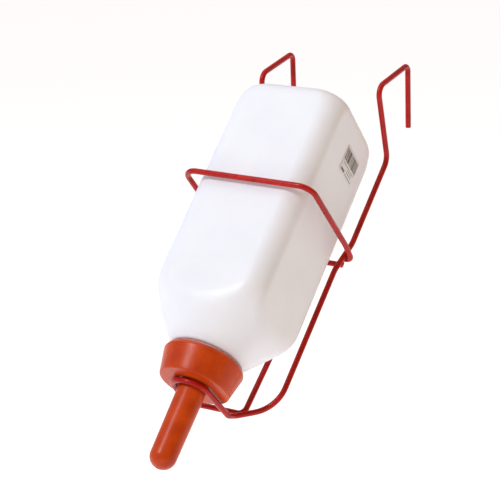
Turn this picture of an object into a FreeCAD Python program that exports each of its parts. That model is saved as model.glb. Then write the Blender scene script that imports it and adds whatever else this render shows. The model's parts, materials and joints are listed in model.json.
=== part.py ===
"""Nursing bottle in a bent-wire board rack, hung as it is used.

Row frame: millimetres, +Z up, +X along the board, +Y through the board.  The origin is on the
board's front top edge, midway between the two hooks, where the rack's weight hangs.

The bottle bay leans forward.  Its own directions are x (the same X), v (down the bottle's axis,
from base to teat) and n (from the board out towards the animal), all measured from the origin.
"""
import FreeCAD, Part
import math
import os

V = FreeCAD.Vector

# ---- lean of the bottle bay ------------------------------------------------------------------
TILT = math.radians(51.3)          # bottle axis from straight down, swung out from the board
SIN, COS = math.sin(TILT), math.cos(TILT)

# ---- wire ------------------------------------------------------------------------------------
WIRE_R = 2.5                       # 4.5 mm steel with its red coat
COAT_EDGE_R = 0.7                  # the coat rounds each cut end
WELD = 0.1                         # how far two welded wires sink into each other
GAP = 0.3                          # air between parts that move apart
STRAIGHT = 0.1                     # least straight run left between two bends

# ---- board the hooks fit ---------------------------------------------------------------------
BOARD_T = 38.1                     # planed two-by lumber
HOOK_SLACK = 2.2
TAIL_LENGTH = 59.0                 # each hook's tail behind the board, from its top corner down
HOOK_TOP_Z = 7.4                   # wire centre over the board's back edge
NOSE_Y, NOSE_Z = -17.8, 0.7        # front bend of each hook
FACE_BEND_Y = -1.1                 # corner of the bend that bears on the board's face
BACK_BEND_R, NOSE_BEND_R, FACE_BEND_R = 6.0, 9.0, 12.0

# ---- hanger wire -----------------------------------------------------------------------------
UPPER_X = 59.5                     # half spacing of the hooks and upper legs
LOWER_X = 53.5                     # half spacing of the lower legs
LEG_N = -53.8                      # plane of both legs
JOG_TOP_V, JOG_END_V = 136.0, 164.0
JOG_R = 34.0
FOOT_V = 303.3                     # where the leg line meets the sloping foot line
FOOT_R = 30.0
TIP_X, TIP_V, TIP_R = 19.5, 318.0, 5.2               # sharp bend under the bottle's cap
RISE_X, RISE_V, RISE_N, RISE_R = 19.0, 323.7, -43.3, 9.0   # bend where the loop leaves that one
LOOP_V = 324.0
LOOP_R = 15.5                      # loop round the teat

# ---- bail ------------------------------------------------------------------------------------
KNOT_V = 149.0                     # level of the two hooks the bail swings on
CURL_R = 5.6                       # centre line of each curl round a leg
BAIL_X, BAIL_N = 62.4, 53.4        # side runs and front run
BAIL_CORNER_R = 13.0
DIP_V, DIP_N, DIP_R = 2.2, 14.0, 16.0                # each side run dips, then rises into its curl
CURL_TAIL = 4.0                    # cut end past the back of the curl

# ---- back-rest wire --------------------------------------------------------------------------
REST_TOP_V = 155.6
REST_TOP_X, REST_LOW_X = 27.5, 24.5
REST_KINK_X, REST_KINK_V = 25.4, 262.0
REST_LOW_V, REST_LOW_N = 313.8, -56.8
REST_END_PAST = 1.0                # how far the turned-out ends pass the legs' centre lines
REST_SHOULDER_R, REST_KINK_R, REST_FOOT_R = 11.0, 150.0, 6.5

# ---- bottle ----------------------------------------------------------------------------------
BODY_W = 104.0                     # across the flats, both ways
CORNER_R = 18.0                    # plan corner of the straight body
BASE_V = 40.0
BASE_CORNER_R = 27.0               # the plan corner opens out to this towards the base
FOOT_BLEND = 28.0                  # over this length
HEEL_IN, HEEL_UP = 14.0, 13.4      # rounding between side and base: inwards, and along the axis
HEEL_CORNER = 0.6                  # share of the rounding that the plan corner loses
HEEL_STEPS, BLEND_STEPS = 6, 3     # sections of the foot
WALL = 1.8
DISH_R, DISH_FLAT_R, PUSH_UP = 30.0, 25.0, 3.5      # shallow hollow in the base
CONE_V, CONE_R, CONE_SLOPE = 200.0, 104.3, 0.78      # shoulder cone: radius at one level, and fall
COLLAR_V = 292.6                   # shoulder ends, neck starts
NECK_R, BEAD_R, MOUTH_R = 28.6, 30.2, 26.0
NECK_ROOT = ((2.6, -3.0), (1.0, 0.6), (0.0, 1.6))   # outward and down from neck and collar
BEAD_START_V, BEAD_FULL_V, BEAD_FALL_V, BEAD_END_V = 301.0, 302.3, 303.9, 306.4
NECK_END_V, RIM = 313.5, 1.0       # open end, and the bevel of its rim
SHOULDER_SOFT, INNER_SOFT = 5.0, 4.0                # rounding where the shoulder meets the flats
BORE_DEPTH = 16.0                  # the mouth's bore starts this far inside the shoulder's end
SKEW, SKEW_V = 0.6, 262.0          # degrees that the bottle sits askew in its rack, and about which level

# ---- nipple ----------------------------------------------------------------------------------
CAP_TOP_V, CAP_WIDE_V, CAP_END_V = 295.4, 298.4, 320.6
CAP_LIP_R, CAP_WIDE_R, CAP_END_R = 34.0, 35.6, 31.0
CAP_EDGE_R, EDGE_MID = 1.6, 0.3    # rounding of the cap's lower edge, and its half-way point
LIP_BEVEL, LIP_ROUND, LIP_DROP = 0.8, 0.3, 1.4       # lip: bevel inside, rounding outside
SEAT = 0.1                         # radial air under the stretched rubber
TEAT_ROOT_R, TEAT_NOSE_R, TEAT_BORE_R = 12.2, 11.3, 8.2
TEAT_END_V = 397.6
TEAT_FILLET = 1.0                  # where the teat meets the cap
TIP_WALL = 4.0
BORE_NOSE = ((0.7, 1.6), (1.0, 6.0))                 # share of the bore's radius, distance from its end
BORE_FLARE, THROAT = 0.6, 4.0      # the bore widens to the cap, then opens to the mouth
NOSE_STEPS = 8
SLIT_LENGTH, SLIT_WIDTH, SLIT_DEPTH = 6.0, 0.5, 1.2  # cross cut in the tip, closed at rest

# ---- sticker ---------------------------------------------------------------------------------
LABEL_V0, LABEL_V1 = 70.0, 96.0
LABEL_N0, LABEL_N1 = -27.0, 3.0
LABEL_T = 0.25
LABEL_CORNER = 2.0

REST_TOP_N = LEG_N - 2 * WIRE_R + WELD
AXIS_N = REST_TOP_N + WIRE_R + GAP + BODY_W / 2


def place(x, v, n):
    """Point of the leaning bay in the row frame."""
    return V(x, -v * SIN - n * COS, -v * COS + n * SIN)


def joggle_x(v):
    """Half spacing of the legs at level v."""
    t = (v - JOG_TOP_V) / (JOG_END_V - JOG_TOP_V)
    return UPPER_X + (LOWER_X - UPPER_X) * min(max(t, 0.0), 1.0)


def rounded_path(points, radii):
    """Straight runs joined by tangent arcs; radii has one value for each inner point."""
    edges = []
    start = points[0]
    for i in range(1, len(points) - 1):
        p, a, b = points[i], points[i - 1], points[i + 1]
        u = (a - p).normalize()
        w = (b - p).normalize()
        half = math.acos(max(-1.0, min(1.0, u.dot(w)))) / 2
        reach = radii[i - 1] / math.tan(half)
        t1, t2 = p + u * reach, p + w * reach
        bis = (u + w).normalize()
        mid = p + bis * (radii[i - 1] / math.sin(half) - radii[i - 1])
        if (t1 - start).Length > 1e-4:
            edges.append(Part.LineSegment(start, t1).toShape())
        edges.append(Part.Arc(t1, mid, t2).toShape())
        start = t2
    if (points[-1] - start).Length > 1e-4:
        edges.append(Part.LineSegment(start, points[-1]).toShape())
    return Part.Wire(edges)


def wire_solid(points, radii):
    """Round wire along a path, with its two cut ends softened by the coat."""
    path = rounded_path(points, radii)
    tangent = (points[1] - points[0]).normalize()
    ring = Part.Wire(Part.makeCircle(WIRE_R, points[0], tangent))
    solid = path.makePipeShell([ring], True, False)
    ends = [e for e in solid.Edges if len(e.Vertexes) == 1
            and min((e.CenterOfMass - p).Length for p in (points[0], points[-1])) < 1e-3]
    return solid.makeFillet(COAT_EDGE_R, ends)


def mirror_points(half):
    """The whole symmetric path from its half, which starts next to the mid-plane."""
    other = [V(-p.x, p.y, p.z) for p in reversed(half)]
    return other + half


def mirror_radii(half):
    """The bend radii of the whole path from those of its half."""
    return list(reversed(half)) + half


def hanger_wire():
    """One long wire: hook, leg, foot, loop round the teat, and the same again back up."""
    back_y = BOARD_T + HOOK_SLACK + WIRE_R
    leg_top_v = (-FACE_BEND_Y - LEG_N * COS) / SIN
    half = [
        place(LOOP_R + STRAIGHT, LOOP_V, AXIS_N + LOOP_R),
        place(RISE_X, RISE_V, RISE_N),
        place(TIP_X, TIP_V, LEG_N),
        place(LOWER_X, FOOT_V, LEG_N),
        place(LOWER_X, JOG_END_V, LEG_N),
        place(UPPER_X, JOG_TOP_V, LEG_N),
        place(UPPER_X, leg_top_v, LEG_N),
        V(UPPER_X, NOSE_Y, NOSE_Z),
        V(UPPER_X, back_y, HOOK_TOP_Z),
        V(UPPER_X, back_y, HOOK_TOP_Z - TAIL_LENGTH),
    ]
    bends = [LOOP_R, RISE_R, TIP_R, FOOT_R, JOG_R, JOG_R, FACE_BEND_R, NOSE_BEND_R, BACK_BEND_R]
    return wire_solid(mirror_points(half), mirror_radii(bends))


def backrest_wire():
    """Flat U behind the bottle: foot run, two uprights, ends turned out behind the legs."""
    half = [
        place(REST_LOW_X, REST_LOW_V, REST_LOW_N),
        place(REST_KINK_X, REST_KINK_V, REST_TOP_N),
        place(REST_TOP_X, REST_TOP_V, REST_TOP_N),
        place(joggle_x(REST_TOP_V) + REST_END_PAST, REST_TOP_V, REST_TOP_N),
    ]
    return wire_solid(mirror_points(half), mirror_radii([REST_FOOT_R, REST_KINK_R, REST_SHOULDER_R]))


def bail_wire():
    """Hoop round the front of the bottle, each end curled round a leg."""
    leg_x = joggle_x(KNOT_V)
    half = [
        place(BAIL_X, KNOT_V, BAIL_N),
        place(BAIL_X, KNOT_V - DIP_V, LEG_N + DIP_N),
        place(leg_x + CURL_R, KNOT_V, LEG_N - CURL_R),
        place(leg_x - CURL_TAIL, KNOT_V, LEG_N - CURL_R),
    ]
    return wire_solid(mirror_points(half), mirror_radii([BAIL_CORNER_R, DIP_R, CURL_R - STRAIGHT]))


def settle(shape):
    """Swing a piece of the bottle by the bottle's skew."""
    shape.rotate(place(0, SKEW_V, AXIS_N), place(0, 0, 1), SKEW)
    return shape


def axis_frame(shape):
    """Move a shape built along +Z, base to teat, with +Y out from the board, into the bay."""
    turn = FreeCAD.Rotation(V(1, 0, 0), place(0, 0, 1), place(0, 1, 0), "XYZ")
    shape.Placement = FreeCAD.Placement(place(0, 0, AXIS_N), turn)
    return settle(shape)


def turned(profile):
    """Solid of revolution about Z from (radius, height) pairs."""
    pts = [V(r, 0, h) for r, h in profile]
    pts.append(pts[0])
    return Part.Face(Part.makePolygon(pts)).revolve(V(0, 0, 0), V(0, 0, 1), 360)


def rounded_square(width, corner, z):
    """Face square to the axis at height z, with four arcs for corners."""
    h = width / 2
    c = h - corner
    pts = [V(h, -c, z), V(h, c, z), V(c, h, z), V(-c, h, z),
           V(-h, c, z), V(-h, -c, z), V(-c, -h, z), V(c, -h, z)]
    k = corner * (1 - math.sqrt(0.5))
    mids = [V(h - k, h - k, z), V(k - h, h - k, z), V(k - h, k - h, z), V(h - k, k - h, z)]
    edges = []
    for i in range(4):
        edges.append(Part.LineSegment(pts[2 * i], pts[2 * i + 1]).toShape())
        edges.append(Part.Arc(pts[2 * i + 1], mids[i], pts[(2 * i + 2) % 8]).toShape())
    return Part.Face(Part.Wire(edges))


def body_section(height, inset):
    """Outline of the body at a height over its base; inset gives the inner form."""
    rise = min(height / (HEEL_UP - inset), 1.0)
    pull = (HEEL_IN - inset) * (1 - math.sqrt(1 - (1 - rise) ** 2))
    low = max(1 - height / FOOT_BLEND, 0.0)
    opened = (BASE_CORNER_R - CORNER_R) * low * low * (3 - 2 * low)
    corner = CORNER_R - inset + opened - HEEL_CORNER * pull
    return rounded_square(BODY_W - 2 * (inset + pull), corner, BASE_V + inset + height)


def bottle_form(inset, soft):
    """Straight body on a rounded foot, cut by the shoulder cone; inset gives the inner form."""
    base, top = BASE_V + inset, COLLAR_V - inset
    heel = HEEL_UP - inset
    heights = [heel * (1 - math.cos(math.pi / 2 * k / HEEL_STEPS)) for k in range(HEEL_STEPS + 1)]
    heights += [heel + (FOOT_BLEND - heel) * k / BLEND_STEPS for k in range(1, BLEND_STEPS + 1)]
    foot = Part.makeLoft([body_section(z, inset).OuterWire for z in heights], True, False)
    straight = body_section(FOOT_BLEND, inset).extrude(V(0, 0, top - base - FOOT_BLEND))
    slant = inset * math.sqrt(1 + CONE_SLOPE ** 2)
    wide_r = CONE_R - slant + CONE_SLOPE * (CONE_V - base - FOOT_BLEND)
    end_r = CONE_R - slant - CONE_SLOPE * (top - CONE_V)
    cone = Part.makeCone(wide_r, end_r, top - base - FOOT_BLEND, V(0, 0, base + FOOT_BLEND))
    body = straight.common(cone)
    rims = [e for e in body.Edges if e.BoundBox.ZMin > CONE_V
            and ("Hyperbola" in str(e.Curve) or "BSpline" in str(e.Curve))]
    return body.makeFillet(soft, rims).fuse(foot)


def bottle_neck():
    """Neck with its bead, sunk a little into the end of the shoulder."""
    root = [(NECK_R + out, COLLAR_V + down) for out, down in NECK_ROOT]
    return turned([(0, root[0][1])] + root + [
        (NECK_R, BEAD_START_V), (BEAD_R, BEAD_FULL_V), (BEAD_R, BEAD_FALL_V), (NECK_R, BEAD_END_V),
        (NECK_R, NECK_END_V - RIM), (NECK_R - RIM, NECK_END_V), (0, NECK_END_V)])


def bottle_shell():
    """Blow-moulded bottle: hollow body, neck with a bead, open mouth, dished base."""
    inner = bottle_form(WALL, INNER_SOFT)
    bore_v = COLLAR_V - BORE_DEPTH
    bore = Part.makeCylinder(MOUTH_R, NECK_END_V - bore_v + WALL, V(0, 0, bore_v))
    shell = bottle_form(0.0, SHOULDER_SOFT).fuse(bottle_neck()).cut(inner.fuse(bore))
    foot = V(0, 0, BASE_V)
    dish = Part.makeCone(DISH_R, DISH_FLAT_R, PUSH_UP, foot)
    dish_wall = Part.makeCone(DISH_R + WALL, DISH_FLAT_R + WALL, PUSH_UP + WALL, foot)
    return axis_frame(shell.fuse(dish_wall).cut(dish).removeSplitter())


def nipple_outside():
    """Outer profile: lip, straight taper of the cap, crisp lower edge, teat and its round nose."""
    nose_v = TEAT_END_V - TEAT_NOSE_R
    profile = [
        (NECK_R + SEAT + LIP_BEVEL, CAP_TOP_V), (CAP_LIP_R, CAP_TOP_V),
        (CAP_WIDE_R - LIP_ROUND, CAP_TOP_V + LIP_DROP), (CAP_WIDE_R, CAP_WIDE_V),
        (CAP_END_R, CAP_END_V - CAP_EDGE_R),
        (CAP_END_R - EDGE_MID * CAP_EDGE_R, CAP_END_V - EDGE_MID * CAP_EDGE_R),
        (CAP_END_R - CAP_EDGE_R, CAP_END_V), (TEAT_ROOT_R + TEAT_FILLET, CAP_END_V),
        (TEAT_ROOT_R, CAP_END_V + TEAT_FILLET), (TEAT_NOSE_R, nose_v)]
    for k in range(1, NOSE_STEPS):
        a = math.pi / 2 * k / NOSE_STEPS
        profile.append((TEAT_NOSE_R * math.cos(a), nose_v + TEAT_NOSE_R * math.sin(a)))
    return profile + [(0, TEAT_END_V)]


def nipple_inside():
    """Inner profile, tip to lip: milk space, floor on the mouth's rim, and the groove for the bead."""
    tip = TEAT_END_V - TIP_WALL
    nose = [(TEAT_BORE_R * share, tip - back) for share, back in BORE_NOSE]
    return [(0, tip)] + nose + [
        (TEAT_BORE_R + BORE_FLARE, CAP_END_V), (TEAT_BORE_R + THROAT, CAP_END_V - THROAT),
        (MOUTH_R - THROAT, NECK_END_V), (NECK_R - RIM + SEAT, NECK_END_V),
        (NECK_R + SEAT, NECK_END_V - RIM), (NECK_R + SEAT, BEAD_END_V),
        (BEAD_R + SEAT, BEAD_FALL_V), (BEAD_R + SEAT, BEAD_FULL_V),
        (NECK_R + SEAT, BEAD_START_V), (NECK_R + SEAT, CAP_TOP_V + LIP_BEVEL)]


def nipple():
    """One-piece rubber cap and teat, stretched over the neck, with a cross cut in its tip."""
    rubber = turned(nipple_outside() + nipple_inside())
    corner = V(-SLIT_LENGTH / 2, -SLIT_WIDTH / 2, TEAT_END_V - SLIT_DEPTH)
    slit = Part.makeBox(SLIT_LENGTH, SLIT_WIDTH, 2 * SLIT_DEPTH, corner)
    across = slit.copy()
    across.rotate(V(0, 0, 0), V(0, 0, 1), 90)
    return axis_frame(rubber.cut(slit.fuse(across)))


def label():
    """Thin sticker on the bottle's +X face."""
    x0 = BODY_W / 2
    pts = [(LABEL_V0, LABEL_N0), (LABEL_V1, LABEL_N0), (LABEL_V1, LABEL_N1), (LABEL_V0, LABEL_N1)]
    face = Part.Face(Part.makePolygon([place(x0, v, n) for v, n in pts + pts[:1]]))
    solid = face.extrude(V(LABEL_T, 0, 0))
    posts = [e for e in solid.Edges if abs(e.BoundBox.XLength - LABEL_T) < 1e-6
             and e.Length < LABEL_T * 1.01]
    return settle(solid.makeFillet(LABEL_CORNER, posts))


NODES = {
    "hanger_wire": hanger_wire,
    "backrest_wire": backrest_wire,
    "bail_wire": bail_wire,
    "bottle": bottle_shell,
    "nipple": nipple,
    "label": label,
}

os.makedirs("parts", exist_ok=True)
for name, make in NODES.items():
    shape = make()
    solid = shape.Solids[0]
    print(name, "solids", len(shape.Solids), "valid", solid.isValid(), "volume", round(solid.Volume))
    solid.exportStep("parts/" + name + ".step")
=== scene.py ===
"""Looks of the nursing bottle in its coated wire rack.

Everything is in metres in the row frame.  The bottle leans, so most of it is laid out in the bay's
own directions: x (along the board), v (down the bottle's axis, base to teat) and n (out from the
board, towards the animal).  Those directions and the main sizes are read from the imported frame.
"""
import json
import math

import bmesh
import bpy
import numpy as np
from mathutils import Matrix, Vector, noise


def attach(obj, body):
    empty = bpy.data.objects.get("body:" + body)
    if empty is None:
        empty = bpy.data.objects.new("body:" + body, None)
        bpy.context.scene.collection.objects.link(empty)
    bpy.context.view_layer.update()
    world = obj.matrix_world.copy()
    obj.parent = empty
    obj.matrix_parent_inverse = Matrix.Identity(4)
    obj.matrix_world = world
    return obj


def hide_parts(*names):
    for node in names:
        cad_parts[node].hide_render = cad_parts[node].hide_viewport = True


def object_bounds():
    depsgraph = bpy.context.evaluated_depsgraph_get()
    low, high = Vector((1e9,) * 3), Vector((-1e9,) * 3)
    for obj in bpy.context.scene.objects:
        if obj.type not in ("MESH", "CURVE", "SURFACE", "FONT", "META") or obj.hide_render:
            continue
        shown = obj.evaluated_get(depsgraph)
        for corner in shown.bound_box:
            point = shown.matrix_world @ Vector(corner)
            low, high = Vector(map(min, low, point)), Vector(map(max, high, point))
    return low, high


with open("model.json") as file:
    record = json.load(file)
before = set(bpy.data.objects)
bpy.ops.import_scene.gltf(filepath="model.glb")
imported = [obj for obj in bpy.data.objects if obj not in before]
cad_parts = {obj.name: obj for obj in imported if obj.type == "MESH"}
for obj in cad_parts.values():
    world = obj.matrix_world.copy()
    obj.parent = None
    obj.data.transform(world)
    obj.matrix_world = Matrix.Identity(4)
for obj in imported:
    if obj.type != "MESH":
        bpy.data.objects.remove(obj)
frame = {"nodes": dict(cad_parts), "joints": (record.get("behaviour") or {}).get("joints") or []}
cad_low, cad_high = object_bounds()

MM = 0.001

# ---- directions and sizes taken from the frame --------------------------------------------------
JOINTS = {j["name"]: j for j in frame["joints"]}
LIFT = Vector(JOINTS["bottle_lift"]["axis"]).normalized()
HINGE = Vector(JOINTS["bail_swing"]["pos_m"])
ALONG = Vector((1, 0, 0))
DOWN = Vector((0, -LIFT.y, -LIFT.z)).normalized()
OUT = DOWN.cross(ALONG)


def bay(x, v, n):
    """Point of the leaning bay in the row frame."""
    return ALONG * x + DOWN * v + OUT * n


def reach(node, turn=Matrix.Identity(4)):
    """Lowest and highest (x, v, n) of a CAD node, after a turn."""
    pts = [turn @ p.co for p in frame["nodes"][node].data.vertices]
    pts = np.array([(p.dot(ALONG), p.dot(DOWN), p.dot(OUT)) for p in pts])
    return pts.min(axis=0), pts.max(axis=0)


KNOT_V, LEG_N = HINGE.dot(DOWN), HINGE.dot(OUT)
WIRE_R = 2.5 * MM
BAIL_N = reach("bail_wire")[1][2] - WIRE_R
REST_TOP_N = reach("backrest_wire")[0][2] + WIRE_R

# The bottle sits a little askew in the bay: SETTLE swings its straight form into place.
SKEW_V = 262 * MM
AXIS_N = float(np.mean(reach("bottle"), axis=0)[2])
PIVOT = Matrix.Translation(bay(0, SKEW_V, AXIS_N))
SETTLE = PIVOT @ Matrix.Rotation(math.asin(-LIFT.x), 4, OUT) @ PIVOT.inverted()
BOTTLE_LO, BOTTLE_HI = reach("bottle", SETTLE.inverted())
NIPPLE_LO, NIPPLE_HI = reach("nipple", SETTLE.inverted())
LABEL_LO, LABEL_HI = reach("label", SETTLE.inverted())
HALF = LABEL_LO[0]                               # half width of the body
BASE_V, MOUTH_V = BOTTLE_LO[1], BOTTLE_HI[1]

# ---- bottle -------------------------------------------------------------------------------------
CORNER_R, BASE_CORNER_R = 18 * MM, 27 * MM       # plan corner of the body, and of its base
FOOT_BLEND, HEEL_CORNER = 28 * MM, 0.6
HEEL_IN, HEEL_UP = 14 * MM, 13.4 * MM            # rounding between side and base
WALL = 1.8 * MM
DISH_R, DISH_FLAT_R, PUSH_UP = 30 * MM, 25 * MM, 3.5 * MM
CROWN = 0.3 * MM                                 # the hollow's floor bulges back by this
CONE_V, CONE_R, CONE_SLOPE = 200 * MM, 104.3 * MM, 0.78
COLLAR_V = 292.6 * MM
BEAD_START_V, BEAD_FULL_V = 301 * MM, 302.4 * MM         # the neck's bead rises here
BEAD_FALL_V, BEAD_END_V = 304.1 * MM, 306.4 * MM         # and falls here
NECK_R, BEAD_R, MOUTH_R = 28.6 * MM, 30.2 * MM, 26 * MM
COLLAR_RUN = 2.4 * MM                            # the neck's own rings start this far up the cone
SOFT = 9 * MM                                    # width of the blend into the shoulder
WAVE, WAVE_AROUND, WAVE_ALONG = 0.22 * MM, 1.6, 22   # unevenness of the blown walls, and its scale
SEAM, SEAM_WIDTH = 0.16 * MM, 0.45 * MM          # parting line at two corners
SEAM_ANGLES, BESIDE_SEAM = (0.75 * math.pi, 1.75 * math.pi), (0.25 * MM, 0.5 * MM, 0.8 * MM)
FLAT_POINTS, CORNER_POINTS, HEEL_LEVELS = 24, 22, 17     # mesh points on a flat, a corner, the heel
SHOULDER_V = 215 * MM                            # the levels are closer from here to the collar
HEEL_CLEAR = 2 * MM                              # first level past the heel
FOOT_STEP, BODY_STEP, SHOULDER_STEP = 2.5 * MM, 5 * MM, 1.25 * MM
POLE_R, RIM_RUN, DISH_BEND = 2 * MM, 3 * MM, 1.8 * MM    # hollow: first ring, flat rim, edge bends
DISH_STEP, RIM_SHARES = 4 * MM, (0.4, 0.8)       # rings of the hollow, and between its rim and the heel

# ---- nipple -------------------------------------------------------------------------------------
CAP_TOP_V, CAP_WIDE_V, CAP_END_V = NIPPLE_LO[1], 298.4 * MM, 320.6 * MM
CAP_LIP_R, CAP_WIDE_R, CAP_END_R = 34 * MM, NIPPLE_HI[0], 30.9 * MM
TEAT_ROOT_R, TEAT_NOSE_R, TEAT_BORE_R = 12.2 * MM, 11.3 * MM, 8.2 * MM
TEAT_END_V, TIP_WALL, SEAT = NIPPLE_HI[1], 4 * MM, 0.1 * MM
BORE_FLARE, THROAT = 0.6 * MM, 4 * MM            # the bore widens to the cap, then opens to the mouth
SLIT_HALF, SLIT_WIDTH, SLIT_DEPTH, SLIT_FADE = 3 * MM, 0.22 * MM, 0.7 * MM, 0.6 * MM
NIPPLE_POINTS, NIPPLE_STEP = 180, 3 * MM         # points round each ring, and between rings

# ---- wires --------------------------------------------------------------------------------------
BOARD_T, HOOK_SLACK = 38.1 * MM, 2.2 * MM
TAIL_LENGTH, HOOK_TOP_Z = 59 * MM, 7.4 * MM
BACK_BEND_R, NOSE_BEND_R, FACE_BEND_R = 6 * MM, 9 * MM, 12 * MM
NOSE_Y, NOSE_Z, FACE_BEND_Y = -17.8 * MM, 0.7 * MM, -1.1 * MM
UPPER_X, LOWER_X = 59.5 * MM, 53.5 * MM
JOG_TOP_V, JOG_END_V, JOG_R = 136 * MM, 164 * MM, 34 * MM
FOOT_V, FOOT_R = 303.3 * MM, 30 * MM
TIP_X, TIP_V, TIP_R = 19.5 * MM, 318 * MM, 5.2 * MM
RISE_X, RISE_V, RISE_N, RISE_R = 19 * MM, 323.7 * MM, -43.3 * MM, 9 * MM
LOOP_V, LOOP_R = 324 * MM, 15.5 * MM
CURL_R, CURL_TAIL, BAIL_CORNER_R = 5.6 * MM, 4 * MM, 13 * MM
BAIL_X, DIP_V, DIP_N, DIP_R = 62.4 * MM, 2.2 * MM, 14 * MM, 16 * MM
REST_TOP_V, REST_TOP_X = 155.6 * MM, 27.5 * MM
REST_KINK_X, REST_KINK_V = 25.4 * MM, 262 * MM
REST_LOW_X, REST_LOW_V, REST_LOW_N = 24.5 * MM, 313.8 * MM, -56.8 * MM
REST_END_PAST = 1 * MM
REST_SHOULDER_R, REST_KINK_R, REST_FOOT_R = 11 * MM, 150 * MM, 6.5 * MM
STRAIGHT = 0.1 * MM                              # least straight run between two bends
COAT_EDGE_R, EDGE_STEPS, EDGE_CLEAR = 0.7 * MM, 5, 1.2   # the coat rounds each cut end
COAT_UNEVEN, COAT_WAVES = 0.035 * MM, 60         # unevenness of the coat, and its waves per metre
WIRE_STEP, WIRE_POINTS = 6 * MM, 28
LEG_WELD = (3.1 * MM, 3.1 * MM, 1.9 * MM)        # half sizes along x, v and n
FOOT_WELD = (3 * MM, 2.4 * MM, 2.6 * MM)
FOOT_WELD_X, FOOT_WELD_V = 22.2 * MM, 315.2 * MM
WELD_UNEVEN, WELD_WAVES = 0.10, 1.7

# ---- sticker ------------------------------------------------------------------------------------
LABEL_CORNER, LABEL_STEPS = 2 * MM, 8
LABEL_EDGE, LABEL_EDGE_AT = 0.12 * MM, 0.7       # softened edge, from this share of the thickness
BAR_PITCH, BAR_CUT = 30.0, 0.44                  # scale of the bars, and the level above which is ink
# patches of ink, as shares of the width (low, high) and of the length (low, high)
BAR_BLOCK = (0.04, 0.96, 0.10, 0.54)
STICKER_MARKS = ((0.10, 0.90, 0.62, 0.645), (0.18, 0.55, 0.70, 0.725), (0.18, 0.55, 0.79, 0.815),
                 (0.08, 0.62, 0.90, 0.93), (0.66, 0.92, 0.84, 0.93))

# ---- camera -------------------------------------------------------------------------------------
CAMERA_AT = Vector((0.7393, -1.3770, 0.4024))
CAMERA_AZIMUTH, CAMERA_ELEVATION, CAMERA_ROLL = 31.02, 19.89, -2.27
LENS = 128.1

# ---- stage --------------------------------------------------------------------------------------
FLOOR_DROP, FLOOR_HALF, FLOOR_GLOW = 0.30, 50.0, 0.66
SKY_LEFT, SKY_RIGHT, SKY_SPAN = (0.38, 0.42, 0.53), (0.42, 0.26, 0.12), 0.8
# softboxes: place from the object's middle, size, power and colour
KEY = (Vector((-0.46, -0.98, 1.34)), (0.42, 0.42), 15.5, (0.88, 0.94, 1.0))
TOP = (Vector((-0.2, 0.2, 1.3)), (1.2, 1.0), 3.5, (1.0, 1.0, 1.0))

TINY = 1e-7
MIX_ONE, MIX_TWO, MIX_OUT = 6, 7, 2              # colour sockets of a Mix node


# ================================================================================================
# geometry helpers
# ================================================================================================
def rounded_path(points, radii, step=None, arc_step=math.radians(6)):
    """Points along straight runs joined by tangent arcs; step divides the straight runs too."""
    path = [Vector(points[0])]

    def run_to(end):
        start = path[-1]
        length = (end - start).length
        count = max(1, round(length / step)) if step else 1
        if length > TINY:
            path.extend(start.lerp(end, k / count) for k in range(1, count + 1))

    for i, radius in enumerate(radii, start=1):
        here = Vector(points[i])
        u = (Vector(points[i - 1]) - here).normalized()
        w = (Vector(points[i + 1]) - here).normalized()
        half = u.angle(w) / 2
        reach_out = radius / math.tan(half)
        run_to(here + u * reach_out)
        centre = here + (u + w).normalized() * radius / math.sin(half)
        turn = math.pi - 2 * half
        spin = (path[-1] - centre).cross(here + w * reach_out - centre).normalized()
        count = max(2, math.ceil(turn / arc_step))
        arm = path[-1] - centre
        path.extend(centre + Matrix.Rotation(turn * k / count, 3, spin) @ arm for k in range(1, count + 1))
    run_to(Vector(points[-1]))
    return path


def mesh_piece(name, verts, faces, body, slot, material, replaces=()):
    """Mesh object from vertices and faces, smooth shaded, that rides on a body."""
    if body == "bottle":
        verts = [SETTLE @ p for p in verts]
    mesh = bpy.data.meshes.new(name)
    mesh.from_pydata([tuple(p) for p in verts], [], faces)
    mesh.materials.append(material)
    mesh.polygons.foreach_set("use_smooth", [True] * len(mesh.polygons))
    made = bmesh.new()
    made.from_mesh(mesh)
    bmesh.ops.recalc_face_normals(made, faces=made.faces)
    made.to_mesh(mesh)
    made.free()
    piece = bpy.data.objects.new(name, mesh)
    bpy.context.scene.collection.objects.link(piece)
    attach(piece, body)
    if replaces:
        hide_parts(*replaces)
    return piece


def ring_faces(rings, around):
    """Quads between consecutive rings of `around` vertices each."""
    faces = []
    for i in range(rings - 1):
        a, b = i * around, (i + 1) * around
        for j in range(around):
            k = (j + 1) % around
            faces.append((a + j, a + k, b + k, b + j))
    return faces


def circle(centre, one, other, count):
    """Points round a circle, from its centre and two half axes."""
    angles = [2 * math.pi * j / count for j in range(count)]
    return [centre + one * math.cos(a) + other * math.sin(a) for a in angles]


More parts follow.
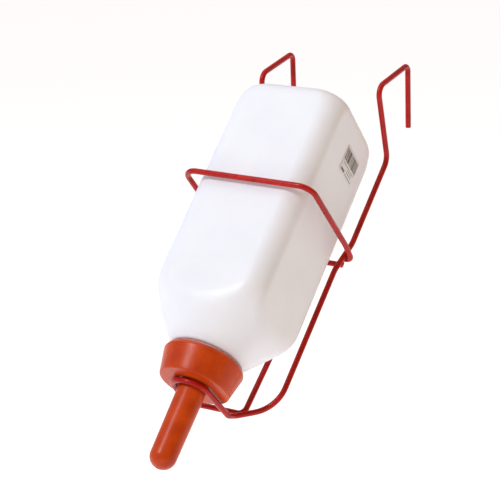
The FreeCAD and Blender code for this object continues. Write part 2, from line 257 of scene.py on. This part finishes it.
def tube(path, radius_at):
    """Round bar along a path with softened cut ends; radius_at gives the radius at a length."""
    lengths = [0.0]
    for a, b in zip(path, path[1:]):
        lengths.append(lengths[-1] + (b - a).length)
    total, soft = lengths[-1], COAT_EDGE_R
    begin, ending = path[1] - path[0], path[-1] - path[-2]
    cuts = [soft * k / EDGE_STEPS for k in range(EDGE_STEPS)]
    stations = [(s, path[0] + begin.normalized() * s, begin) for s in cuts]
    stations += [(lengths[i], path[i], path[i + 1] - path[i - 1]) for i in range(1, len(path) - 1)
                 if soft * EDGE_CLEAR < lengths[i] < total - soft * EDGE_CLEAR]
    stations += [(total - s, path[-1] - ending.normalized() * s, ending) for s in reversed(cuts)]
    verts = []
    side = begin.orthogonal().normalized()
    for s, centre, direction in stations:
        tangent = direction.normalized()
        side = (side - tangent * side.dot(tangent)).normalized()
        edge = min(s, total - s, soft) / soft
        radius = radius_at(s) - soft * (1 - math.sqrt(1 - (1 - edge) ** 2))
        verts += circle(centre, side * radius, tangent.cross(side) * radius, WIRE_POINTS)
    verts += [path[0], path[-1]]
    return verts, closed_faces(len(stations), WIRE_POINTS)


def fan(ring, around, tip):
    """Triangles from a ring's first vertex index to one tip vertex."""
    return [(ring + j, ring + (j + 1) % around, tip) for j in range(around)]


def closed_faces(rings, around):
    """Quads over all rings and a fan at each end; the last two vertices are the tips."""
    tips = rings * around
    last = (rings - 1) * around
    return ring_faces(rings, around) + fan(0, around, tips) + fan(last, around, tips + 1)


def profile(corners, step=None, arc_step=math.radians(6)):
    """(radius, v) points of a rounded line through (radius, v, bend radius) corners."""
    points = [Vector((radius, v, 0)) for radius, v, _ in corners]
    bends = [bend for _, _, bend in corners[1:-1]]
    return [(p.x, p.y) for p in rounded_path(points, bends, step, arc_step)]


def lathe(line, around):
    """Solid of revolution about the bottle's axis; line is (radius, v) from pole to pole."""
    verts = []
    for radius, v in line[1:-1]:
        verts += circle(bay(0, v, AXIS_N), ALONG * radius, OUT * radius, around)
    verts += [bay(0, line[0][1], AXIS_N), bay(0, line[-1][1], AXIS_N)]
    return verts, closed_faces(len(line) - 2, around)


# ================================================================================================
# materials
# ================================================================================================
class Shader:
    """A material under construction: short calls for its nodes and links."""

    def __init__(self, name):
        self.material = bpy.data.materials.new(name)
        self.material.use_nodes = True
        self.tree = self.material.node_tree
        self.bsdf = self.tree.nodes["Principled BSDF"]
        self.where = self.node("ShaderNodeTexCoord").outputs["Object"]

    def node(self, kind, inputs=None, **settings):
        """New node with its settings, its inputs linked or given a value."""
        made = self.tree.nodes.new(kind)
        for key, value in settings.items():
            setattr(made, key, value)
        for key, value in (inputs or {}).items():
            self.feed(made.inputs[key], value)
        return made

    def feed(self, socket, value):
        """Link a socket to another one, or set its value."""
        if isinstance(value, bpy.types.NodeSocket):
            self.tree.links.new(value, socket)
        else:
            socket.default_value = value

    def set(self, **values):
        """Inputs of the surface shader, with _ for each space in their names."""
        for key, value in values.items():
            self.feed(self.bsdf.inputs[key.replace("_", " ")], value)

    def noise(self, scale, detail, stretch=None):
        """Cloudy value in the object's own space."""
        where = self.where
        if stretch:
            where = self.node("ShaderNodeMapping", {"Vector": where, "Scale": stretch}).outputs["Vector"]
        made = self.node("ShaderNodeTexNoise", {"Vector": where, "Scale": scale, "Detail": detail})
        return made.outputs["Fac"]

    def ramp(self, fac, *stops):
        """Colour ramp from (position, colour or number) stops."""
        made = self.node("ShaderNodeValToRGB", {"Fac": fac})
        ramp = made.color_ramp
        while len(ramp.elements) < len(stops):
            ramp.elements.new(0.5)
        for element, (at, colour) in zip(ramp.elements, stops):
            element.position = at
            if isinstance(colour, (int, float)):
                colour = (colour, colour, colour)
            element.color = (*colour, 1.0)
        return made.outputs["Color"]

    def blend(self, fac, one, two):
        """Mix of two colours."""
        made = self.node("ShaderNodeMix", data_type="RGBA")
        self.feed(made.inputs["Factor"], fac)
        self.feed(made.inputs[MIX_ONE], one)
        self.feed(made.inputs[MIX_TWO], two)
        return made.outputs[MIX_OUT]

    def math(self, kind, one, two):
        """Sum on two values."""
        made = self.node("ShaderNodeMath", operation=kind)
        self.feed(made.inputs[0], one)
        self.feed(made.inputs[1], two)
        return made.outputs[0]

    def bump(self, height, strength, distance, under=None):
        """Normal with a height on it, over another normal if one is given."""
        made = self.node("ShaderNodeBump", {"Height": height, "Strength": strength, "Distance": distance})
        if under is not None:
            self.feed(made.inputs["Normal"], under)
        return made.outputs["Normal"]


def coat_red():
    """Glossy dipped coat on wire: deep red, slightly uneven, with a fine orange peel."""
    s = Shader("coat_red")
    tone = s.ramp(s.noise(70, 3), (0.3, (0.36, 0.006, 0.004)), (0.7, (0.52, 0.013, 0.008)))
    rough = s.ramp(s.noise(240, 3), (0.3, 0.22), (0.75, 0.35))
    peel = s.bump(s.noise(1500, 1), 0.10, 0.2 * MM)
    s.set(Base_Color=tone, Roughness=rough, Normal=peel)
    s.set(Coat_Weight=0.08, Coat_Roughness=0.08, Specular_IOR_Level=0.22)
    return s.material


def teat_rubber():
    """Moulded natural rubber: red brown with soft mottling, a faint bloom and a fine grain."""
    s = Shader("teat_rubber")
    cloud = s.ramp(s.noise(55, 4), (0.3, (0.46, 0.038, 0.002)), (0.7, (0.62, 0.068, 0.004)))
    speck = s.ramp(s.noise(900, 2), (0.62, 0.0), (0.72, 1.0))
    colour = s.blend(s.math("MULTIPLY", speck, 0.08), cloud, (0.62, 0.15, 0.05, 1.0))
    rough = s.ramp(s.noise(180, 4), (0.3, 0.26), (0.75, 0.37))
    grain = s.bump(s.noise(2600, 2), 0.12, 0.1 * MM)
    drag = s.bump(s.noise(420, 3), 0.08, 0.3 * MM, grain)
    s.set(Base_Color=colour, Roughness=rough, Normal=drag)
    s.set(Specular_IOR_Level=0.23)
    return s.material


def milk_jug_plastic():
    """Blow-moulded milky plastic: cool white, satin, thin enough to glow a little."""
    s = Shader("milk_jug_plastic")
    cloud = s.ramp(s.noise(22, 3), (0.25, (0.84, 0.86, 0.91)), (0.75, (0.89, 0.905, 0.945)))
    rough = s.ramp(s.noise(160, 4), (0.3, 0.36), (0.75, 0.48))
    skin = s.bump(s.noise(1300, 2), 0.05, 0.15 * MM)
    draw = s.bump(s.noise(60, 2, stretch=(1.0, 0.25, 0.3)), 0.10, 0.5 * MM, skin)
    s.set(Base_Color=cloud, Roughness=rough, Normal=draw)
    s.set(Specular_IOR_Level=0.45, Subsurface_Weight=0.25, Subsurface_Scale=1.5 * MM,
          Subsurface_Radius=(1.0, 0.9, 0.8))
    return s.material


def sticker_paper():
    """Coated paper: a block of plain bars in the half nearest the base, plain marks in the other."""
    s = Shader("sticker_paper")
    place = s.node("ShaderNodeUVMap", uv_map="sticker").outputs["UV"]
    split = s.node("ShaderNodeSeparateXYZ", {"Vector": place})
    across, along = split.outputs["X"], split.outputs["Y"]
    at = s.math("MULTIPLY", across, BAR_PITCH)
    bars = s.node("ShaderNodeTexNoise", {"W": at, "Scale": 1.0, "Detail": 1.0}, noise_dimensions="1D")
    ink = s.math("GREATER_THAN", bars.outputs["Fac"], BAR_CUT)
    ink = s.math("MULTIPLY", ink, patch(s, across, along, BAR_BLOCK))
    for mark in STICKER_MARKS:
        ink = s.math("MAXIMUM", ink, patch(s, across, along, mark))
    fibre = s.ramp(s.noise(700, 3), (0.3, (0.74, 0.74, 0.74)), (0.7, (0.80, 0.80, 0.80)))
    colour = s.blend(s.math("MULTIPLY", ink, 0.85), fibre, (0.055, 0.035, 0.018, 1.0))
    rough = s.ramp(s.noise(400, 2), (0.3, 0.5), (0.7, 0.62))
    s.set(Base_Color=colour, Roughness=rough, Normal=s.bump(s.noise(1800, 2), 0.06, 0.1 * MM))
    return s.material


def patch(s, across, along, sides):
    """1 inside a rectangle of the sticker, given as across low, high and along low, high."""
    a0, a1, b0, b1 = sides
    return s.math("MULTIPLY", window(s, across, a0, a1), window(s, along, b0, b1))


def window(s, value, low, high):
    """1 where value lies between low and high."""
    return s.math("MULTIPLY", s.math("GREATER_THAN", value, low), s.math("LESS_THAN", value, high))


def floor_paper():
    """Pale matt paper that glows a little, so that it stays light all round the object."""
    s = Shader("floor_paper")
    s.set(Base_Color=(0.80, 0.80, 0.80, 1.0), Roughness=0.9)
    s.set(Emission_Color=(1.0, 1.0, 1.0, 1.0), Emission_Strength=FLOOR_GLOW)
    return s.material


# ================================================================================================
# bottle
# ================================================================================================
def square_radius(theta, half, corner):
    """Polar radius of a rounded square."""
    a = np.maximum(np.abs(np.cos(theta)), np.abs(np.sin(theta)))
    b = np.minimum(np.abs(np.cos(theta)), np.abs(np.sin(theta)))
    k = half - corner
    both = k * (a + b)
    arc = both + np.sqrt(np.maximum(both ** 2 - 2 * k ** 2 + corner ** 2, 0))
    return np.where(b / a * half <= k, half / a, arc)


def soft_min(a, b, width):
    """Smaller of two values, rounded over where they cross."""
    return np.minimum(a, b) - np.maximum(width - np.abs(a - b), 0) ** 2 / (4 * width)


def body_angles():
    """Angles round the body: even on the flats, closer at the corners and at the parting line."""
    k = HALF - CORNER_R
    angles = []
    for quarter in range(4):
        turn = quarter * math.pi / 2
        angles += [turn + math.atan2(k * t, HALF) for t in np.linspace(-1, 1, FLAT_POINTS + 1)[:-1]]
        arc = [(k + CORNER_R * math.cos(a), k + CORNER_R * math.sin(a))
               for a in np.linspace(0, math.pi / 2, CORNER_POINTS + 1)[:-1]]
        angles += [turn + math.atan2(y, x) for x, y in arc]
    reach_out = HALF * math.sqrt(2) - CORNER_R * (math.sqrt(2) - 1)
    for seam in SEAM_ANGLES:
        angles += [seam + side * d / reach_out for side in (-1, 1) for d in BESIDE_SEAM]
    return np.array(sorted(set(round(a % (2 * math.pi), 7) for a in angles)))


def seam_height(theta, radius):
    """Ridge left by the two mould halves, on the plane through two opposite corners."""
    off = radius * (np.cos(theta) + np.sin(theta)) / math.sqrt(2)
    return SEAM * np.exp(-(off / SEAM_WIDTH) ** 2)


def body_rings(theta, inset):
    """(v, radius at each angle) from the heel to the collar of the outer or inner form."""
    foot, heel_up, heel_in = BASE_V + inset, HEEL_UP - inset, HEEL_IN - inset
    slant = inset * math.sqrt(1 + CONE_SLOPE ** 2)
    levels = [foot + heel_up * (1 - math.cos(a)) for a in np.linspace(0, math.pi / 2, HEEL_LEVELS)]
    levels += list(np.arange(BASE_V + HEEL_UP + HEEL_CLEAR, BASE_V + FOOT_BLEND, FOOT_STEP))
    levels += list(np.arange(BASE_V + FOOT_BLEND, SHOULDER_V, BODY_STEP))
    levels += list(np.arange(SHOULDER_V, COLLAR_V - COLLAR_RUN, SHOULDER_STEP))
    rings = []
    for v in levels:
        rise = min((v - foot) / heel_up, 1)
        pull = heel_in * (1 - math.sqrt(max(1 - (1 - rise) ** 2, 0)))
        low = max(1 - (v - foot) / FOOT_BLEND, 0)
        opened = (BASE_CORNER_R - CORNER_R) * low * low * (3 - 2 * low)
        corner = CORNER_R - inset + opened - HEEL_CORNER * pull
        square = square_radius(theta, HALF - inset - pull, corner)
        cone = CONE_R - slant - CONE_SLOPE * (v - CONE_V)
        rings.append((v, soft_min(square, cone, SOFT)))
    return rings


def skin(theta, rings):
    """The same rings with the slight waves of a blown wall."""
    made = []
    for v, radius in rings:
        spots = [(math.cos(a) * WAVE_AROUND, math.sin(a) * WAVE_AROUND, v * WAVE_ALONG) for a in theta]
        wave = np.array([noise.noise(Vector(spot)) for spot in spots])
        made.append((v, radius - WAVE * (0.5 + 0.5 * wave)))
    return made


def dish(foot, wall):
    """(v, radius) rings from the middle of the base out to the heel, over the push-up."""
    v0, heel = foot
    rim = DISH_R + wall + RIM_RUN
    line = profile([(POLE_R, v0 + PUSH_UP - CROWN, 0), (DISH_FLAT_R + wall, v0 + PUSH_UP, DISH_BEND),
                    (DISH_R + wall, v0, DISH_BEND), (rim, v0, 0)], DISH_STEP, math.radians(9))
    return [(v, radius) for radius, v in line] + [(v0, heel * t + rim * (1 - t)) for t in RIM_SHARES]


def neck_rings():
    """(v, radius) rings from the shoulder over the bead and the mouth's rim, and back inside."""
    edge = CONE_R - CONE_SLOPE * (COLLAR_V - CONE_V)
    line = profile([
        (edge + COLLAR_RUN * CONE_SLOPE, COLLAR_V - COLLAR_RUN, 0), (edge, COLLAR_V, 2.2 * MM),
        (NECK_R, COLLAR_V + 0.2 * MM, 1 * MM), (NECK_R, BEAD_START_V, 0.8 * MM),
        (BEAD_R, BEAD_FULL_V, 0.6 * MM), (BEAD_R, BEAD_FALL_V, 0.6 * MM), (NECK_R, BEAD_END_V, 1 * MM),
        (NECK_R, MOUTH_V, 0.9 * MM), (MOUTH_R, MOUTH_V, 0.9 * MM), (MOUTH_R, COLLAR_V - WALL, 1.6 * MM),
        (edge - 0.6 * MM, COLLAR_V - WALL - COLLAR_RUN, 0)], None, math.radians(15))
    return [(v, radius) for radius, v in line]


def bottle_mesh():
    """Outer skin from the dished base to the mouth and back along the inner skin."""
    theta = body_angles()
    outer, inner = body_rings(theta, 0.0), body_rings(theta, WALL)
    rings = [(v - seam_height(theta, radius), radius) for v, radius in dish(outer[0], 0.0)]
    rings += [(v, waved + seam_height(theta, radius))
              for (v, radius), (_, waved) in zip(outer, skin(theta, outer))]
    rings += neck_rings() + skin(theta, reversed(inner)) + dish(inner[0], WALL)[::-1]
    verts = []
    for v, radius in rings:
        down, x, n = np.broadcast_arrays(v, radius * np.cos(theta), radius * np.sin(theta))
        verts += [bay(float(a), float(b), AXIS_N + float(c)) for a, b, c in zip(x, down, n)]
    verts += [bay(0, foot[0] + PUSH_UP - CROWN, AXIS_N) for foot in (outer[0], inner[0])]
    return verts, closed_faces(len(rings), len(theta))


# ================================================================================================
# nipple
# ================================================================================================
def nipple_mesh():
    """Cap and teat: from the milk space up the inside, over the lip, and down the outside."""
    tip, seat = TEAT_END_V - TIP_WALL, MOUTH_V + SEAT / 2
    neck, bead = NECK_R + SEAT, BEAD_R + SEAT
    corners = [                                  # radius, v, and the bend there in millimetres
        (0, tip, 0), (TEAT_BORE_R, tip, 4.5), (TEAT_BORE_R + BORE_FLARE, CAP_END_V, 2.5),
        (TEAT_BORE_R + THROAT, CAP_END_V - THROAT, 3), (MOUTH_R - THROAT, seat, 1.5), (neck, seat, 0.5),
        (neck, BEAD_END_V, 0.6), (bead, BEAD_FALL_V, 0.5), (bead, BEAD_FULL_V, 0.5),
        (neck, BEAD_START_V, 0.6), (neck, CAP_TOP_V, 0.5), (CAP_LIP_R, CAP_TOP_V, 0.9),
        (CAP_WIDE_R, CAP_WIDE_V, 1.6), (CAP_END_R, CAP_END_V, 1.5), (TEAT_ROOT_R, CAP_END_V, 1.6),
        (TEAT_NOSE_R, TEAT_END_V, 11.1), (0, TEAT_END_V, 0)]
    line = profile([(radius, v, bend * MM) for radius, v, bend in corners], NIPPLE_STEP)
    verts, faces = lathe(line, NIPPLE_POINTS)
    return [cross_cut(p) for p in verts], faces


def cross_cut(point):
    """Sink points of the teat's nose that lie on the cross cut, closed but for its groove."""
    x, v, n = point.x, point.dot(DOWN), point.dot(OUT) - AXIS_N
    if v < TEAT_END_V - TIP_WALL / 2:
        return point
    arms = [math.exp(-(a / SLIT_WIDTH) ** 2) * max(0.0, min(1.0, (SLIT_HALF - abs(b)) / SLIT_FADE))
            for a, b in ((x, n), (n, x))]
    return point - DOWN * SLIT_DEPTH * max(arms)


# ================================================================================================
# wires
# ================================================================================================
def mirrored(half):
    """Whole symmetric path from its right half, which starts nearest the middle."""
    return [Vector((-p.x, p.y, p.z)) for p in reversed(half)] + half


def coat_radius(seed):
    """Radius of the coated wire along its length, slightly uneven."""
    return lambda s: WIRE_R + COAT_UNEVEN * noise.noise(Vector((s * COAT_WAVES, seed, 0)))


def wire(name, half, bends, body, seed, material):
    """Coated wire piece that stands for the CAD node it is named after."""
    path = rounded_path(mirrored(half), list(reversed(bends)) + bends, step=WIRE_STEP)
    verts, faces = tube(path, coat_radius(seed))
    mesh_piece(name + "_coated", verts, faces, body, "wire", material, [name])


def leg_x(v):
    """Half spacing of the legs at level v, through the joggle."""
    t = min(max((v - JOG_TOP_V) / (JOG_END_V - JOG_TOP_V), 0.0), 1.0)
    return UPPER_X + (LOWER_X - UPPER_X) * t


def hanger(material):
    """Hooks, legs, foot and the loop round the teat."""
    back_y = BOARD_T + HOOK_SLACK + WIRE_R
    leg_top_v = (FACE_BEND_Y - LEG_N * OUT.y) / DOWN.y
    half = [
        bay(LOOP_R + STRAIGHT, LOOP_V, AXIS_N + LOOP_R),
        bay(RISE_X, RISE_V, RISE_N),
        bay(TIP_X, TIP_V, LEG_N),
        bay(LOWER_X, FOOT_V, LEG_N),
        bay(LOWER_X, JOG_END_V, LEG_N),
        bay(UPPER_X, JOG_TOP_V, LEG_N),
        bay(UPPER_X, leg_top_v, LEG_N),
        Vector((UPPER_X, NOSE_Y, NOSE_Z)),
        Vector((UPPER_X, back_y, HOOK_TOP_Z)),
        Vector((UPPER_X, back_y, HOOK_TOP_Z - TAIL_LENGTH)),
    ]
    bends = [LOOP_R, RISE_R, TIP_R, FOOT_R, JOG_R, JOG_R, FACE_BEND_R, NOSE_BEND_R, BACK_BEND_R]
    wire("hanger_wire", half, bends, "rack", 3.0, material)


def backrest(material):
    """Flat U behind the bottle, with its ends turned out behind the legs."""
    half = [
        bay(REST_LOW_X, REST_LOW_V, REST_LOW_N),
        bay(REST_KINK_X, REST_KINK_V, REST_TOP_N),
        bay(REST_TOP_X, REST_TOP_V, REST_TOP_N),
        bay(leg_x(REST_TOP_V) + REST_END_PAST, REST_TOP_V, REST_TOP_N),
    ]
    wire("backrest_wire", half, [REST_FOOT_R, REST_KINK_R, REST_SHOULDER_R], "rack", 7.0, material)


def bail(material):
    """Hoop round the front of the bottle, curled round each leg."""
    x = leg_x(KNOT_V)
    half = [
        bay(BAIL_X, KNOT_V, BAIL_N),
        bay(BAIL_X, KNOT_V - DIP_V, LEG_N + DIP_N),
        bay(x + CURL_R, KNOT_V, LEG_N - CURL_R),
        bay(x - CURL_TAIL, KNOT_V, LEG_N - CURL_R),
    ]
    wire("bail_wire", half, [BAIL_CORNER_R, DIP_R, CURL_R - STRAIGHT], "bail", 11.0, material)


def weld(name, centre, size, material, seed):
    """Small lump of weld under the coat where two wires cross; size is along x, v and n."""
    verts, rings, around = [], 12, 24
    for i in range(1, rings + 1):
        lat = math.pi * i / (rings + 1)
        for j in range(around):
            a = 2 * math.pi * j / around
            d = Vector((math.sin(lat) * math.cos(a), math.cos(lat), math.sin(lat) * math.sin(a)))
            grow = 1 + WELD_UNEVEN * noise.noise(d * WELD_WAVES + Vector((seed, 0, 0)))
            verts.append(centre + bay(d.x * size[0], d.y * size[1], d.z * size[2]) * grow)
    verts += [centre + bay(0, pole * size[1], 0) for pole in (1, -1)]
    mesh_piece(name, verts, closed_faces(rings, around), "rack", "wire", material)


def welds(material):
    """The two wires of the rack are welded behind each leg and on each side of the foot."""
    for side, word in ((1, "right"), (-1, "left")):
        knot = bay(side * leg_x(REST_TOP_V), REST_TOP_V, (LEG_N + REST_TOP_N) / 2)
        weld("weld_leg_" + word, knot, LEG_WELD, material, 2.0 + side)
        foot = bay(side * FOOT_WELD_X, FOOT_WELD_V, (LEG_N + REST_LOW_N) / 2)
        weld("weld_foot_" + word, foot, FOOT_WELD, material, 5.0 + side)


# ================================================================================================
# sticker
# ================================================================================================
def sticker(material):
    """Thin paper sheet with rounded corners and a softened edge on the bottle's right face."""
    low, high, corner = Vector(LABEL_LO), Vector(LABEL_HI), LABEL_CORNER
    outline = []
    for v, n, start in ((high.y - corner, high.z - corner, 0), (low.y + corner, high.z - corner, 1),
                        (low.y + corner, low.z + corner, 2), (high.y - corner, low.z + corner, 3)):
        for k in range(LABEL_STEPS + 1):
            a = math.pi / 2 * (start + k / LABEL_STEPS)
            outline.append((v, n, corner * math.cos(a), corner * math.sin(a)))
    verts = []
    for share, pull in ((0, 0), (LABEL_EDGE_AT, 0), (1, LABEL_EDGE)):
        x, scale = low.x + (high.x - low.x) * share, 1 - pull / corner
        verts += [bay(x, v + dv * scale, n + dn * scale) for v, n, dv, dn in outline]
    around = len(outline)
    faces = ring_faces(3, around) + [tuple(range(around)), tuple(range(2 * around, 3 * around))]
    piece = mesh_piece("paper_sticker", verts, faces, "bottle", "sticker", material, ["label"])
    uv = piece.data.uv_layers.new(name="sticker")
    for loop in piece.data.loops:
        co = verts[loop.vertex_index]
        uv.data[loop.index].uv = ((co.dot(OUT) - low.z) / (high.z - low.z),
                                  (co.dot(DOWN) - low.y) / (high.y - low.y))


# ================================================================================================
# stage
# ================================================================================================
def camera():
    """Camera at the photograph's place and angle."""
    az, el, roll = (math.radians(a) for a in (CAMERA_AZIMUTH, CAMERA_ELEVATION, CAMERA_ROLL))
    back = Vector((math.sin(az) * math.cos(el), -math.cos(az) * math.cos(el), math.sin(el)))
    level = Vector((math.cos(az), math.sin(az), 0))
    rise = back.cross(level)
    right = level * math.cos(roll) + rise * math.sin(roll)
    up = rise * math.cos(roll) - level * math.sin(roll)
    cam = bpy.data.objects.new("camera", bpy.data.cameras.new("camera"))
    cam.matrix_world = Matrix.Translation(CAMERA_AT) @ Matrix((right, up, back)).transposed().to_4x4()
    cam.data.lens = LENS
    cam.data.sensor_width = 36
    bpy.context.scene.collection.objects.link(cam)
    bpy.context.scene.camera = cam


def softbox(name, aim, offset, size, power, colour):
    """Rectangular area light at an offset from the point it is aimed at."""
    lamp = bpy.data.lights.new(name, "AREA")
    lamp.shape = "RECTANGLE"
    lamp.size, lamp.size_y = size
    lamp.energy = power
    lamp.color = colour
    obj = bpy.data.objects.new(name, lamp)
    obj.location = aim + offset
    obj.rotation_euler = (-offset).to_track_quat("-Z", "Y").to_euler()
    bpy.context.scene.collection.objects.link(obj)


def surround():
    """Soft light from all round: cool and bright from the left, dim and warm from the right."""
    world = bpy.data.worlds.new("surround")
    world.use_nodes = True
    nodes, links = world.node_tree.nodes, world.node_tree.links
    across = nodes.new("ShaderNodeSeparateXYZ")
    links.new(nodes.new("ShaderNodeTexCoord").outputs["Generated"], across.inputs["Vector"])
    side = nodes.new("ShaderNodeMapRange")
    side.inputs["From Min"].default_value = -SKY_SPAN
    side.inputs["From Max"].default_value = SKY_SPAN
    links.new(across.outputs["X"], side.inputs["Value"])
    tone = nodes.new("ShaderNodeMix")
    tone.data_type = "RGBA"
    tone.inputs[MIX_ONE].default_value = (*SKY_LEFT, 1.0)
    tone.inputs[MIX_TWO].default_value = (*SKY_RIGHT, 1.0)
    links.new(side.outputs["Result"], tone.inputs["Factor"])
    links.new(tone.outputs[MIX_OUT], nodes["Background"].inputs["Color"])
    bpy.context.scene.world = world


def studio():
    """Pale floor well below the hanging rack, a soft surround and two softboxes."""
    centre = (cad_low + cad_high) / 2
    size, z = FLOOR_HALF, cad_low.z - FLOOR_DROP
    mesh = bpy.data.meshes.new("floor")
    mesh.from_pydata([(-size, -size, z), (size, -size, z), (size, size, z), (-size, size, z)],
                     [], [(0, 1, 2, 3)])
    mesh.materials.append(floor_paper())
    floor = bpy.data.objects.new("floor", mesh)
    bpy.context.scene.collection.objects.link(floor)
    surround()
    softbox("key", centre, *KEY)
    softbox("top", centre, *TOP)
    bpy.context.scene.view_settings.view_transform = "Standard"


# ================================================================================================
# the object
# ================================================================================================
def build():
    """Every visual piece, each on the body of the CAD node that it replaces."""
    coat = coat_red()
    mesh_piece("milk_bottle", *bottle_mesh(), "bottle", "milk_jug_plastic", milk_jug_plastic(), ["bottle"])
    mesh_piece("rubber_nipple", *nipple_mesh(), "bottle", "rubber", teat_rubber(), ["nipple"])
    sticker(sticker_paper())
    hanger(coat)
    backrest(coat)
    bail(coat)
    welds(coat)


camera()
studio()
build()
